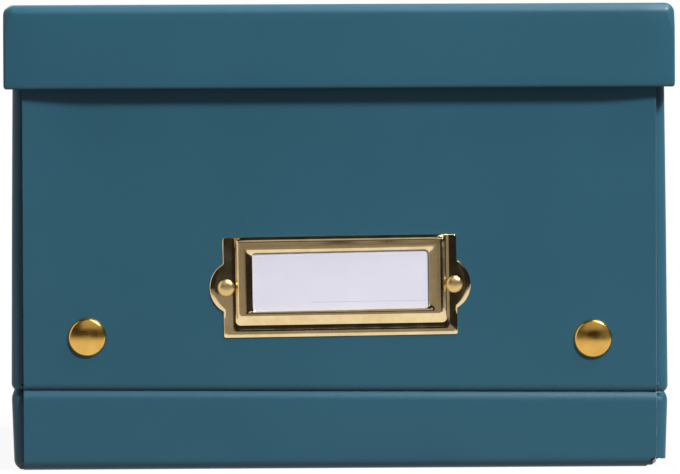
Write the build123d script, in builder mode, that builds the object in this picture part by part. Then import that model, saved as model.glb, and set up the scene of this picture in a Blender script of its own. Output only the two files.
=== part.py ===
"""Storage box of covered board, for A5 cards laid landscape.

The body is one scored sheet: a tray with four upper walls that stand on a crease.
The side walls carry corner tabs that fold behind the front and back walls and are
held there by press studs. A separate lid lifts off. A riveted brass frame on the
front takes a paper label from above.

Millimetres, +Z up. The origin is on the floor, under the middle of the lid.
The front faces -Y. "Left" and "right" are as seen from the front.
"""

from build123d import *
from math import radians, tan
import os

# Board and folds
board = 1.8  # thickness of the covered board
bend_inner = 1.6  # inside radius where the board is bent

# Body
total_height = 156.0  # floor to the top of the lid
body_width = 221.0  # over the side walls, at the crease
body_depth = 277.0  # over the front and back walls
tray_height = 26.4  # floor to the crease, at mid width
crease_slope = 0.45  # degrees; the crease was scored a little off level, higher on the left
side_lean = 1.0  # how far each side wall leans in between the crease and its top
tray_draw = 0.9  # how far each tray side draws in between the crease and the floor
panel_inset = 4.1  # front and back walls stop this far short of the sides
panel_bow = 1.9  # how far the ends of the front and back walls curl out at the top
bow_length = 27.0  # length of wall, from each end, that curls
bow_start = 28.0  # over the crease; below this the press studs hold the wall flat
groove_depth = 0.8  # pressed groove that makes the crease
groove_slope = 1.6  # height of each of its two slopes
groove_margin = 1.0  # the groove's cutter starts this far outside the board
blank_margin = 2.0  # blanks run at least this far past the crease before they are cut
blank_foot = 0.3  # foot of the tray's side blanks, inside the thickness of the bottom
bottom_join = 53.0  # from mid width; the side sheets run in to here as part of the bottom

# Corner tabs
layer_gap = 0.6  # between a tab and the wall that it stands behind
tab_reach = 40.0  # from the outside of the side wall to the tab's free edge
tab_corner = 6.0  # radius of its free corners
tab_foot_gap = 1.6  # over the crease
tab_head_gap = 1.2  # under the top of the walls

# Press studs: a cap and socket on the wall, a stud and post on the tab
stud_from_side = 25.5  # stud axis, in from the outside of the side wall
stud_rise = 17.5  # stud axis over the crease
cap_radius = 6.6
cap_rise = 2.1  # height of the domed cap
cap_lip = 0.9  # height of the turned rim of the cap
neck_radius = 2.35  # rivet neck of the cap, clenched in the bore of the socket
neck_grip = 0.45  # length of the neck inside the socket
socket_radius = 5.1
socket_stand = 0.2  # how far the socket stands out of the board
socket_height = 1.3
knob_bore_gap = 0.35  # between the stud that snaps in and the bore of the socket
knob_tip_gap = 0.15  # between its tip and the neck
flange_radius = 4.5
flange_thickness = 0.25
post_radius = 4.5  # head of the rivet at the back of the tab
post_thickness = 0.5
post_shank = 1.5  # radius of the rivet through the tab

# Lid
lid_rim = 28.2  # height of the rim
lid_side_gap = 1.3  # beside the tops of the side walls
lid_end_gap = 1.3  # in front of the curled ends of the front wall
lid_seat_gap = 0.3  # between the wall tops and the underside of the lid
lid_corner = 1.0  # radius of the upright corners
hem_round = 0.7  # rounding of the covered edge of the rim

# Label frame, with a paper label
label_height = 61.4  # floor to the middle of the frame
label_tilt = 0.65  # degrees; the frame was riveted a little off level, right end up
sheet = 0.5  # brass sheet
frame_width = 78.6
frame_height = 33.6
frame_corner = 0.8
ear_radius = 9.3  # half-round ears at the short sides
ear_reach = 4.6  # how far an ear stands out of the frame
flat_side = 4.1  # flat of the frame at each side of the raised bezel
flat_foot = 4.7  # and under it; the bezel runs out at the top edge of the frame
bezel_rise = 1.5  # over the wall, metal included
bezel_round = 0.85
bezel_side = 5.75  # width of the bezel beside the window
bezel_foot = 3.4  # under the window
bezel_head = 5.8  # over the window
window_corner = 1.2
window_slope = 0.4  # the edge of the window is turned in
pocket_side = 1.6  # metal left beside and under the pocket
label_side_gap = 0.4  # between the label and each side of the pocket
label_foot_gap = 0.25  # under the label
label_back_gap = 0.1  # between the label and the wall
label_head_drop = 0.8  # top of the label under the top edge of the frame
label_thickness = 0.4
rivet_inset = 1.0  # rivet axis, in from the edge of the frame
rivet_radius = 2.7
rivet_rise = 1.0
rivet_shank = 1.4
washer_radius = 3.5
washer_thickness = 0.5
tail_radius = 2.2  # clenched end of the rivet, behind the washer
tail_height = 0.5

# Places worked out from the sizes above
bend_outer = bend_inner + board
half_width = body_width / 2
front_face = -body_depth / 2
front_back = front_face + board
tab_face = front_back + layer_gap
tab_back = tab_face + board
panel_half = half_width - panel_inset
wall_top = total_height - board - lid_seat_gap
wall_rise = wall_top - tray_height
rim_foot = total_height - lid_rim
lid_half_width = half_width - side_lean + lid_side_gap + board
lid_half_depth = body_depth / 2 + panel_bow + lid_end_gap + board
slope = tan(radians(crease_slope))
crease = Plane(origin=(0, 0, tray_height), x_dir=(1, 0, -slope), z_dir=(slope, 0, 1))
cut_margin = half_width * slope + blank_margin
wall_foot = tray_height - cut_margin
bow_foot = tray_height + bow_start
tray_head = tray_height + cut_margin
stud_x = half_width - stud_from_side
stud_places = [(x, tray_height - x * slope + stud_rise) for x in (-stud_x, stud_x)]
front_plane = Plane(origin=(0, front_face, 0), x_dir=(1, 0, 0), z_dir=(0, -1, 0))
label_plane = Plane(
    origin=(0, front_face, label_height), x_dir=(1, 0, tan(radians(label_tilt))), z_dir=(0, -1, 0)
)
bezel_width = frame_width - 2 * flat_side
bezel_height = frame_height - flat_foot
window_width = bezel_width - 2 * bezel_side
window_height = bezel_height - bezel_head - bezel_foot
pocket_depth = bezel_rise - sheet
pocket_width = bezel_width - 2 * pocket_side
pocket_foot = pocket_side + flat_foot - frame_height / 2
rivet_x = frame_width / 2 - rivet_inset
rivet_places = [label_plane.from_local_coords(Vector(x, 0, 0)) for x in (-rivet_x, rivet_x)]
tail_seat = board + washer_thickness
neck_seat = front_back - socket_height + socket_stand
neck_end = neck_seat + neck_grip
knob_radius = neck_radius - knob_bore_gap


def across_sheet(side, foot, head):
    """The plane square to a leaning side sheet, with its origin on the outside of the sheet.
    side is -1 for left and 1 for right; foot and head are two points of the outside, each
    as (distance from the middle, height)."""
    out, up = side * (head[0] - foot[0]), head[1] - foot[1]
    return Plane(origin=(side * foot[0], 0, foot[1]), x_dir=(up, 0, -out), z_dir=(out, 0, up))


def wrapped_sheet(side):
    """Across a side sheet: it is bent round both corners and has a tab at each end. Its
    outside is at x = 0."""
    tip = -side * tab_reach
    back = -side * board
    with BuildLine() as edge:
        outside = FilletPolyline(
            (tip, tab_face), (0, tab_face), (0, -tab_face), (tip, -tab_face), radius=bend_outer
        )
        inside = FilletPolyline(
            (tip, tab_back), (back, tab_back), (back, -tab_back), (tip, -tab_back),
            radius=bend_inner,
        )
        Line(outside @ 0, inside @ 0)
        Line(outside @ 1, inside @ 1)
    return make_face(edge.edges())


def bowed_sheet(bow):
    """Seen from above: the front wall, with its two ends curled out by the bow."""
    flat_half = panel_half - bow_length
    bow_middle = panel_half - bow_length / 2
    ends = []
    with BuildLine() as edge:
        for face in (front_face, front_back):
            Line((-flat_half, face), (flat_half, face))
            left = Bezier((-flat_half, face), (-bow_middle, face), (-panel_half, face - bow))
            right = Bezier((flat_half, face), (bow_middle, face), (panel_half, face - bow))
            ends.append((left @ 1, right @ 1))
        for outer, inner in zip(*ends):
            Line(outer, inner)
    return make_face(edge.edges())


os.makedirs("parts", exist_ok=True)

# The groove that is pressed round the body to make the crease
with BuildPart() as groove:
    depth_out = groove_depth + groove_margin
    height_out = groove_slope * depth_out / groove_depth
    with BuildSketch(Plane.YZ.offset(-panel_half)):
        with Locations((front_face + groove_depth, 0)):
            Polygon((0, 0), (-depth_out, height_out), (-depth_out, -height_out), align=None)
    extrude(amount=2 * panel_half)
    with BuildSketch(Plane.XZ.offset(tab_face + bend_outer)):
        with Locations((groove_depth - half_width, 0)):
            Polygon((0, 0), (-depth_out, height_out), (-depth_out, -height_out), align=None)
    extrude(amount=-2 * (tab_face + bend_outer))
    corner_axis = Axis((bend_outer - half_width, tab_face + bend_outer, 0), (0, 0, 1))
    with BuildSketch(Plane.XZ.offset(-tab_face - bend_outer)):
        with Locations((groove_depth - half_width, 0)):
            Polygon((0, 0), (-depth_out, height_out), (-depth_out, -height_out), align=None)
    revolve(axis=corner_axis, revolution_arc=90)
    mirror(about=Plane.XZ)
    mirror(about=Plane.YZ)
groove_tool = groove.part.moved(crease.location)

# Tray: the bottom of the box, with four low walls, in one folded and glued sheet
with BuildPart() as tray:
    bend_half = half_width - tray_draw * (1 - bend_outer / tray_height)
    bend_end = bend_half - bend_outer
    for side in (-1, 1):
        low_plane = across_sheet(side, (half_width - tray_draw, 0), (half_width, tray_height))
        with BuildSketch(low_plane.offset(blank_foot)):
            wrapped_sheet(side)
        extrude(amount=tray_head)
        # The glue between each tab and the low wall in front of it
        with BuildSketch(Plane.XY.offset(board)):
            with Locations(
                (side * (panel_half + half_width - tab_reach) / 2, front_back + layer_gap / 2),
                (side * (panel_half + half_width - tab_reach) / 2, -front_back - layer_gap / 2),
            ):
                Rectangle(tab_reach - panel_inset, layer_gap)
        extrude(amount=tray_head - board)
        # The corners are rounded under, like the bend of the side
        with BuildSketch(Plane.XZ.offset(tab_face)):
            with BuildLine():
                under = TangentArc(
                    (side * bend_half, bend_outer), (side * bend_end, 0), tangent=(0, -1)
                )
                Polyline(
                    under @ 1, (side * bend_end, -board), (side * (half_width + board), -board),
                    (side * (half_width + board), bend_outer), under @ 0,
                )
            make_face()
        extrude(amount=-2 * tab_face, mode=Mode.SUBTRACT)
        # Bend between the side wall and the bottom
        with BuildSketch(Plane.XZ.offset(tab_face + bend_outer)):
            with BuildLine():
                outer = TangentArc(
                    (side * bend_half, bend_outer), (side * bend_end, 0), tangent=(0, -1)
                )
                inner = TangentArc(
                    (side * (bend_half - board), bend_outer), (side * bend_end, board),
                    tangent=(0, -1),
                )
                Line(outer @ 0, inner @ 0)
                Polyline(outer @ 1, (side * bottom_join, 0), (side * bottom_join, board), inner @ 1)
            make_face()
        extrude(amount=-2 * (tab_face + bend_outer))
    # Bottom, bent up into the front and back low walls
    with BuildSketch(Plane.YZ.offset(-panel_half)):
        with BuildLine():
            outer = FilletPolyline(
                (front_face, tray_head), (front_face, 0), (-front_face, 0),
                (-front_face, tray_head), radius=bend_outer,
            )
            inner = FilletPolyline(
                (front_back, tray_head), (front_back, board), (-front_back, board),
                (-front_back, tray_head), radius=bend_inner,
            )
            Line(outer @ 0, inner @ 0)
            Line(outer @ 1, inner @ 1)
        make_face()
    extrude(amount=2 * panel_half)
    split(bisect_by=crease, keep=Keep.BOTTOM)
    add(groove_tool, mode=Mode.SUBTRACT)
tray.part.label = "tray"
export_step(tray.part, "parts/tray.step")

# Side walls: each is bent round the corners at its front and back edges
wall_planes = {
    side: across_sheet(side, (half_width, tray_height), (half_width - side_lean, wall_top))
    for side in (-1, 1)
}
for side, side_name in ((-1, "left_wall"), (1, "right_wall")):
    with BuildPart() as side_wall:
        with BuildSketch(wall_planes[side].offset(-cut_margin)):
            wrapped_sheet(side)
            # The tabs are pieces of their own
            with Locations((-side * (bend_outer + tab_reach / 2), 0)):
                Rectangle(tab_reach, body_depth, mode=Mode.SUBTRACT)
        extrude(amount=wall_rise + 2 * cut_margin)
        split(bisect_by=crease, keep=Keep.TOP)
        split(bisect_by=Plane.XY.offset(wall_top), keep=Keep.BOTTOM)
        add(groove_tool, mode=Mode.SUBTRACT)
    side_wall.part.label = side_name
    export_step(side_wall.part, "parts/" + side_name + ".step")

# Front and back walls: flat, with ends that curl out above the studs
with BuildPart() as end_sheet:
    for height in (wall_foot, bow_foot):
        with BuildSketch(Plane.XY.offset(height)):
            bowed_sheet(0)
    with BuildSketch(Plane.XY.offset(wall_top)):
        bowed_sheet(panel_bow)
    loft(ruled=True)
    split(bisect_by=crease, keep=Keep.TOP)
    add(groove_tool, mode=Mode.SUBTRACT)
    # Pressed seats for the two sockets, and holes for the necks of the caps
    with BuildSketch(front_plane.offset(-board)):
        with Locations(*stud_places):
            Circle(socket_radius)
    extrude(amount=socket_height - socket_stand, mode=Mode.SUBTRACT)
    with BuildSketch(front_plane.offset(-board)):
        with Locations(*stud_places):
            Circle(neck_radius)
    extrude(amount=2 * board, mode=Mode.SUBTRACT)

with BuildPart() as front_wall:
    add(end_sheet.part)
    with BuildSketch(label_plane.offset(-board)):
        with Locations((-rivet_x, 0), (rivet_x, 0)):
            Circle(rivet_shank)
    extrude(amount=2 * board, mode=Mode.SUBTRACT)
front_wall.part.label = "front_wall"
export_step(front_wall.part, "parts/front_wall.step")

with BuildPart() as back_wall:
    add(end_sheet.part.mirror(Plane.XZ))
back_wall.part.label = "back_wall"
export_step(back_wall.part, "parts/back_wall.step")

# Press studs. Each profile is drawn with its radius along x and is turned about the
# stud's axis, which runs along Y.
with BuildPart() as front_stud_caps:
    for x, z in stud_places:
        with BuildSketch(Plane(origin=(x, 0, z), x_dir=(1, 0, 0), z_dir=(0, 0, 1))):
            with BuildLine():
                dome = TangentArc(
                    (0, front_face - cap_rise), (cap_radius, front_face - cap_lip), tangent=(1, 0)
                )
                Polyline(
                    dome @ 1, (cap_radius, front_face), (neck_radius, front_face),
                    (neck_radius, neck_end), (0, neck_end), dome @ 0,
                )
            make_face()
        revolve(axis=Axis((x, 0, z), (0, 1, 0)))
front_stud_caps.part.label = "front_stud_caps"
export_step(front_stud_caps.part, "parts/front_stud_caps.step")

with BuildPart() as back_stud_caps:
    add(front_stud_caps.part.mirror(Plane.XZ))
back_stud_caps.part.label = "back_stud_caps"
export_step(back_stud_caps.part, "parts/back_stud_caps.step")

with BuildPart() as stud_sockets:
    with BuildSketch(front_plane.offset(front_face - neck_seat)):
        with Locations(*stud_places):
            Circle(socket_radius)
            Circle(neck_radius, mode=Mode.SUBTRACT)
    extrude(amount=-socket_height)
    mirror(about=Plane.XZ)
stud_sockets.part.label = "stud_sockets"
export_step(stud_sockets.part, "parts/stud_sockets.step")

# Corner tabs, each with its own stud and post. The front ones are drawn and mirrored to
# the back.
tab_parts = {}
stud_parts = {}
post_parts = {}
for side, side_name, (x, z) in zip((-1, 1), ("left", "right"), stud_places):
    with BuildPart() as front_tab:
        with BuildSketch(wall_planes[side].offset(-cut_margin)):
            with Locations((-side * (tab_reach + bend_outer) / 2, tab_face)):
                Rectangle(tab_reach - bend_outer, board, align=(Align.CENTER, Align.MIN))
        extrude(amount=wall_rise + 2 * cut_margin)
        split(bisect_by=crease.offset(tab_foot_gap), keep=Keep.TOP)
        split(bisect_by=Plane.XY.offset(wall_top - tab_head_gap), keep=Keep.BOTTOM)
        along_y = front_tab.edges().filter_by(Axis.Y)
        free_edges = along_y.sort_by(Axis.X)[-2:] if side < 0 else along_y.sort_by(Axis.X)[:2]
        fillet(free_edges, radius=tab_corner)
        with BuildSketch(front_plane.offset(front_face - tab_back)):
            with Locations((x, z)):
                Circle(post_shank)
        extrude(amount=board, mode=Mode.SUBTRACT)
    tab_parts["front_" + side_name] = front_tab.part

    with BuildPart() as front_stud:
        with BuildSketch(Plane(origin=(x, tab_face, z), x_dir=(1, 0, 0), z_dir=(0, 0, 1))):
            tip = neck_end + knob_tip_gap - tab_face
            with BuildLine():
                Polyline(
                    (0, tip), (knob_radius, tip), (knob_radius, -flange_thickness),
                    (flange_radius, -flange_thickness), (flange_radius, 0), (0, 0), close=True,
                )
            make_face()
        revolve(axis=Axis((x, 0, z), (0, 1, 0)))
    stud_parts["front_" + side_name] = front_stud.part

    with BuildPart() as front_post:
        with BuildSketch(Plane(origin=(x, tab_back, z), x_dir=(1, 0, 0), z_dir=(0, 0, 1))):
            with BuildLine():
                Polyline(
                    (0, post_thickness), (post_radius, post_thickness), (post_radius, 0),
                    (post_shank, 0), (post_shank, -board), (0, -board), close=True,
                )
            make_face()
        revolve(axis=Axis((x, 0, z), (0, 1, 0)))
    post_parts["front_" + side_name] = front_post.part

for corner in list(tab_parts):
    back_corner = corner.replace("front", "back")
    tab_parts[back_corner] = tab_parts[corner].mirror(Plane.XZ)
    stud_parts[back_corner] = stud_parts[corner].mirror(Plane.XZ)
    post_parts[back_corner] = post_parts[corner].mirror(Plane.XZ)

for kind, pieces in (("tab", tab_parts), ("tab_stud", stud_parts), ("tab_post", post_parts)):
    for corner, piece in pieces.items():
        piece.label = corner + "_" + kind
        export_step(piece, "parts/" + piece.label + ".step")

# Lid: one sheet with a rounded top edge and upright glued corners
with BuildPart() as lid_hollow:
    with BuildSketch(Plane.XY.offset(rim_foot)):
        Rectangle(2 * (lid_half_width - board), 2 * (lid_half_depth - board))
    extrude(amount=lid_rim - board)
    fillet(lid_hollow.faces().sort_by(Axis.Z)[-1].edges(), radius=bend_inner)

with BuildPart() as lid:
    with BuildSketch(Plane.XY.offset(rim_foot)) as lid_outline:
        Rectangle(2 * lid_half_width, 2 * lid_half_depth)
        fillet(lid_outline.vertices(), radius=lid_corner)
    extrude(amount=lid_rim)
    fillet(lid.faces().sort_by(Axis.Z)[-1].edges(), radius=bend_outer)
    add(lid_hollow.part, mode=Mode.SUBTRACT)
    fillet(lid.faces().sort_by(Axis.Z)[0].edges(), radius=hem_round)
lid.part.label = "lid"
export_step(lid.part, "parts/lid.step")

# Label frame: a stamped sheet, flat at the sides and the foot, raised round the window
with BuildPart() as label_frame:
    with BuildSketch(label_plane) as flat:
        Rectangle(frame_width, frame_height)
        fillet(flat.vertices(), radius=frame_corner)
        with Locations(
            (frame_width / 2 + ear_reach - ear_radius, 0),
            (ear_radius - ear_reach - frame_width / 2, 0),
        ):
            Circle(ear_radius)
    extrude(amount=sheet)
    with BuildSketch(label_plane):
        with Locations((0, frame_height / 2)):
            Rectangle(bezel_width, bezel_height, align=(Align.CENTER, Align.MAX))
    extrude(amount=bezel_rise)
    crown = label_frame.faces().sort_by(Axis.Y)[0]
    top_edge = crown.edges().sort_by(Axis.Z)[-1]
    fillet([e for e in crown.edges() if e != top_edge], radius=bezel_round)
    with BuildSketch(label_plane) as window:
        with Locations((0, frame_height / 2 - bezel_head)):
            Rectangle(window_width, window_height, align=(Align.CENTER, Align.MAX))
        fillet(window.vertices(), radius=window_corner)
    extrude(amount=bezel_rise, mode=Mode.SUBTRACT)
    window_edge = label_frame.faces().sort_by(Axis.Y)[0].inner_wires()[0]
    chamfer(window_edge.edges(), length=window_slope)
    with BuildSketch(label_plane):
        with Locations((0, pocket_foot)):
            Rectangle(pocket_width, frame_height, align=(Align.CENTER, Align.MIN))
    extrude(amount=pocket_depth, mode=Mode.SUBTRACT)
    with BuildSketch(label_plane):
        with Locations((-rivet_x, 0), (rivet_x, 0)):
            Circle(rivet_shank)
    extrude(amount=sheet, mode=Mode.SUBTRACT)
label_frame.part.label = "label_frame"
export_step(label_frame.part, "parts/label_frame.step")

with BuildPart() as label_card:
    with BuildSketch(label_plane.offset(label_back_gap)):
        with Locations((0, pocket_foot + label_foot_gap)):
            Rectangle(
                pocket_width - 2 * label_side_gap,
                frame_height / 2 - label_head_drop - pocket_foot - label_foot_gap,
                align=(Align.CENTER, Align.MIN),
            )
    extrude(amount=label_thickness)
label_card.part.label = "label_card"
export_step(label_card.part, "parts/label_card.step")

# Rivets of the label frame, clenched over washers inside the front wall
with BuildPart() as label_rivets:
    for place in rivet_places:
        with BuildSketch(Plane(origin=place, x_dir=(1, 0, 0), z_dir=(0, 0, 1))):
            with BuildLine():
                head = TangentArc((0, -sheet - rivet_rise), (rivet_radius, -sheet), tangent=(1, 0))
                Polyline(
                    head @ 1, (rivet_shank, -sheet), (rivet_shank, tail_seat),
                    (tail_radius, tail_seat), (tail_radius, tail_seat + tail_height),
                    (0, tail_seat + tail_height), head @ 0,
                )
            make_face()
        revolve(axis=Axis(place, (0, 1, 0)))
label_rivets.part.label = "label_rivets"
export_step(label_rivets.part, "parts/label_rivets.step")

with BuildPart() as label_rivet_washers:
    with BuildSketch(label_plane.offset(-board)):
        with Locations((-rivet_x, 0), (rivet_x, 0)):
            Circle(washer_radius)
            Circle(rivet_shank, mode=Mode.SUBTRACT)
    extrude(amount=-washer_thickness)
label_rivet_washers.part.label = "label_rivet_washers"
export_step(label_rivet_washers.part, "parts/label_rivet_washers.step")
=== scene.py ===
import math

import bmesh
import bpy
from mathutils import Matrix, Vector, noise


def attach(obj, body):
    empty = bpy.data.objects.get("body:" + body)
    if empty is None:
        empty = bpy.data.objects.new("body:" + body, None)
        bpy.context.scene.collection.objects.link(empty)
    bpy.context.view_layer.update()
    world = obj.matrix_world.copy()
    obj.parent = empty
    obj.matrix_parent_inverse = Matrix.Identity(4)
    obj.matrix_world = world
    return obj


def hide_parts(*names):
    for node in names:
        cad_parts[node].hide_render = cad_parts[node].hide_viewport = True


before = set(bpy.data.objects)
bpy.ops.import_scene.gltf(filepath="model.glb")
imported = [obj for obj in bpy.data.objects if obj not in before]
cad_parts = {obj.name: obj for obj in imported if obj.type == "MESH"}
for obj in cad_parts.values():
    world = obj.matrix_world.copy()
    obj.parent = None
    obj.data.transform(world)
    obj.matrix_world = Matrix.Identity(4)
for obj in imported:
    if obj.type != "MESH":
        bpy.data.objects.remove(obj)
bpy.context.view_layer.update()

# Tray
# The foot of the body: one scored sheet of greyboard with a satin paper cover, bent up at
# four sides. The side sheets are wrapped round the corners and glued behind the low walls
# at the front and back. The board shows raw where it is cut.

MM = 0.001
NEAR = 0.01  # two heights or widths closer than this are taken as one
BOARD = 1.8  # thickness of the covered board
BEND = 3.4  # outside radius of a bend
WORN = 0.16  # rounding of the board's edges
BODY_HALF = 110.5  # outside of the side walls, from mid width
FRONT = -138.5  # outside of the front wall
PANEL_HALF = 106.4  # end of the front and back walls, from mid width
TAB_FACE = -136.1  # outside of the sheets that stand behind the front wall
TAB_TIP = 70.5  # free edge of those sheets, from mid width
CREASE = 26.05  # at mid width
CREASE_FALL = math.tan(math.radians(0.45))
SCORE = 1.25  # depth of the crease
SCORE_RISE, SCORE_DROP = 2.3, 3.4  # how far it reaches up and down
SCORE_INSIDE = 0.3  # share of it that shows inside
DRAW_IN = 0.9  # of the tray's sides, down to the floor
PUCKER = {-1: 0.35, 1: 1.0}  # gathers of the cover at the corners, left and right
PUCKER_REACH = 4.5
SWAY = 0.1  # unevenness of a sheet
HANG, HANG_RUN = 0.9, 2.4  # the wrapped end at the right front hangs lower
SLACK, SLACK_RATE = 4.0, 2.2  # the right side is pulled under, early in its bend
FOOT_CUT, FOOT_SLANT = 1.5, 1.9  # the bottom is cut back at its right, under the bend
FLAT_EDGE = 12.0  # from the front wall to the first row of the flat bottom
CORE_OUT, CORE_DEEP = 0.1, 3.0  # the raw board at the lower corners
CORE_FACES = ((0, 1, 2, 3), (7, 6, 5, 4), (0, 4, 5, 1), (1, 5, 6, 2), (2, 6, 7, 3), (3, 7, 4, 0))
CORE_PROFILES = {-1: [(104.5, 0.35), (107.7, 0.35), (108.5, 1.3), (106.4, 3.6)],
                 1: [(103.0, 0.5), (104.6, 0.5), (106.3, 1.5), (106.3, 3.3)]}

PATTERN_RANGE = (0.3, 0.7)  # where nearly all of a noise lies
RELIEF = 0.1 * MM
GLOSS_SWING = 0.05


def linear(red, green, blue):
    """A colour written as 0 to 255, as the shaders take it."""
    parts = [c / 255 for c in (red, green, blue)]
    return [p / 12.92 if p < 0.04045 else ((p + 0.055) / 1.055) ** 2.4 for p in parts] + [1.0]


def effect_group(name, inputs, outputs):
    """An empty shader node group with number inputs and outputs, and its two end nodes."""
    group = bpy.data.node_groups.new(name, "ShaderNodeTree")
    for label, value in inputs.items():
        socket = group.interface.new_socket(
            name=label, in_out="INPUT", socket_type="NodeSocketFloat")
        socket.default_value = value
    for label in outputs:
        group.interface.new_socket(name=label, in_out="OUTPUT", socket_type="NodeSocketFloat")
    return group, group.nodes.new("NodeGroupInput"), group.nodes.new("NodeGroupOutput")


def put(tree, kind, **values):
    """A new node with its properties and input values set."""
    node = tree.nodes.new(kind)
    for key, value in values.items():
        if hasattr(node, key):
            setattr(node, key, value)
        else:
            node.inputs[key.replace("_", " ")].default_value = value
    return node


def math_node(tree, operation, first, second):
    """A Math node; each of its two inputs is a number or a socket."""
    node = put(tree, "ShaderNodeMath", operation=operation)
    for socket, value in zip(node.inputs, (first, second)):
        if isinstance(value, (int, float)):
            socket.default_value = value
        else:
            tree.links.new(value, socket)
    return node.outputs[0]


def ranged(tree, source, span, result=(0.0, 1.0), kind="LINEAR"):
    """A value carried from one range over to another, and kept inside it."""
    node = put(tree, "ShaderNodeMapRange", From_Min=span[0], From_Max=span[1],
               To_Min=result[0], To_Max=result[1], interpolation_type=kind)
    tree.links.new(source, node.inputs["Value"])
    return node.outputs["Result"]


def mixed(tree, factor, first, second):
    """A colour between two others; each of the two is a shader colour or a socket."""
    node = put(tree, "ShaderNodeMix", data_type="RGBA")
    tree.links.new(factor, node.inputs["Factor"])
    for label, value in (("A", first), ("B", second)):
        if isinstance(value, bpy.types.NodeSocket):
            tree.links.new(value, node.inputs[label])
        else:
            node.inputs[label].default_value = value
    return node.outputs["Result"]


def noise_nodes(group, inside, patterns):
    """Noise in a node group; each pattern is (node, vector socket, name of its size in mm)."""
    for node, place, size in patterns:
        group.links.new(place, node.inputs["Vector"])
        scale = math_node(group, "DIVIDE", 1 / MM, inside.outputs[size])
        group.links.new(scale, node.inputs["Scale"])


def paper_fibre():
    """Paper and board: soft clouds and fine fibres. Tone and Height both run about 0.5."""
    group, inside, outside = effect_group(
        "paper_fibre", {"Cloud Size": 60.0, "Fibre Size": 0.7, "Cloud Share": 0.5},
        ("Tone", "Height"))
    place = group.nodes.new("ShaderNodeTexCoord").outputs["Object"]
    cloud = put(group, "ShaderNodeTexNoise", Detail=3.0, Roughness=0.5)
    fibre = put(group, "ShaderNodeTexNoise", Detail=4.0, Roughness=0.62)
    noise_nodes(group, inside, ((cloud, place, "Cloud Size"), (fibre, place, "Fibre Size")))
    share = inside.outputs["Cloud Share"]
    clouded = math_node(group, "MULTIPLY", cloud.outputs["Fac"], share)
    rest = math_node(group, "SUBTRACT", 1.0, share)
    fibred = math_node(group, "MULTIPLY", fibre.outputs["Fac"], rest)
    group.links.new(math_node(group, "ADD", clouded, fibred), outside.inputs["Tone"])
    group.links.new(fibre.outputs["Fac"], outside.inputs["Height"])
    return group


FIBRE = paper_fibre()


def new_material(name):
    """A material with its node tree and its shader."""
    material = bpy.data.materials.new(name)
    material.use_nodes = True
    tree = material.node_tree
    return material, tree, tree.nodes["Principled BSDF"]


def patterned(tree, shader, tone, tints, gloss, roughness, height, bump):
    """A pattern on a shader: its tone between two tints, its gloss between two values of
    roughness, and its height as relief."""
    along = ranged(tree, tone, PATTERN_RANGE)
    tree.links.new(mixed(tree, along, *[linear(*tint) for tint in tints]),
                   shader.inputs["Base Color"])
    tree.links.new(ranged(tree, gloss, PATTERN_RANGE, roughness), shader.inputs["Roughness"])
    relief = put(tree, "ShaderNodeBump", Strength=bump, Distance=RELIEF)
    tree.links.new(height, relief.inputs["Height"])
    tree.links.new(relief.outputs["Normal"], shader.inputs["Normal"])


def paper_material(name, tints, roughness, bump, cloud_size, fibre_size, cloud_share):
    """Paper or board between two colours, with its fibres in colour, gloss and relief."""
    material, tree, shader = new_material(name)
    fibre = put(tree, "ShaderNodeGroup", node_tree=FIBRE, Cloud_Size=cloud_size,
                Fibre_Size=fibre_size, Cloud_Share=cloud_share)
    tone, height = fibre.outputs["Tone"], fibre.outputs["Height"]
    patterned(tree, shader, tone, tints, height,
              (roughness - GLOSS_SWING, roughness + GLOSS_SWING), height, bump)
    return material


def painted_over(material, mask, colour):
    """Lays a colour over what a material already has, where a mask says."""
    tree = material.node_tree
    base = tree.nodes["Principled BSDF"].inputs["Base Color"]
    tree.links.new(mixed(tree, mask, base.links[0].from_socket, colour), base)


cover = paper_material("teal_cover", ((36, 86, 104), (42, 92, 112)), 0.40, 0.10, 45.0, 0.9, 0.55)
cover.node_tree.nodes["Principled BSDF"].inputs["Specular IOR Level"].default_value = 0.38
lining = paper_material(
    "grey_lining", ((150, 145, 134), (172, 166, 154)), 0.8, 0.25, 30.0, 0.8, 0.4)


def cut_edge_material():
    """The cut edge of the board: pale paper on both faces, and brown-grey pulp between."""
    material = paper_material(
        "cut_board", ((112, 92, 78), (150, 130, 112)), 0.85, 0.5, 4.0, 0.3, 0.3)
    tree = material.node_tree
    through = put(tree, "ShaderNodeAttribute", attribute_name="through")
    layers = tree.nodes.new("ShaderNodeValToRGB")
    tree.links.new(through.outputs["Fac"], layers.inputs["Fac"])
    for element, position, shade in zip(layers.color_ramp.elements, (0.30, 0.42), (1, 0)):
        element.position, element.color = position, (shade, shade, shade, 1)
    painted_over(material, layers.outputs["Color"], linear(168, 170, 172))
    return material


cut_board = cut_edge_material()


def crease_height(x):
    """The crease was scored a little off level."""
    return CREASE - x * CREASE_FALL


def pressed_in(x, z, depth):
    """How deep the crease presses a sheet in, at its outside or its inside."""
    over = z - crease_height(x)
    reach = SCORE_RISE if over > 0 else SCORE_DROP
    radius = (reach ** 2 + SCORE ** 2) / (2 * SCORE)
    near = max(0.0, reach - abs(over))
    return (radius - math.sqrt(radius ** 2 - near ** 2)) * (SCORE_INSIDE if depth else 1)


LIP_ROWS = [0, 0.12, 0.3, 0.5, 0.8, 1.1, 1.4, 1.8, 2.2, 2.7, 3.4]  # mm from the crease
LOW_SHARES = [0.86, 0.7, 0.5, 0.3, 0.12, 0]
LOW_COUNT = len(LIP_ROWS) + len(LOW_SHARES)


def low_height(row, x):
    """Heights of the rows of points of the low walls, from the crease down to the bend."""
    top = crease_height(x)
    if row < len(LIP_ROWS):
        return top - LIP_ROWS[row]
    return BEND + LOW_SHARES[row - len(LIP_ROWS)] * (top - LIP_ROWS[-1] - BEND)


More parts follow.
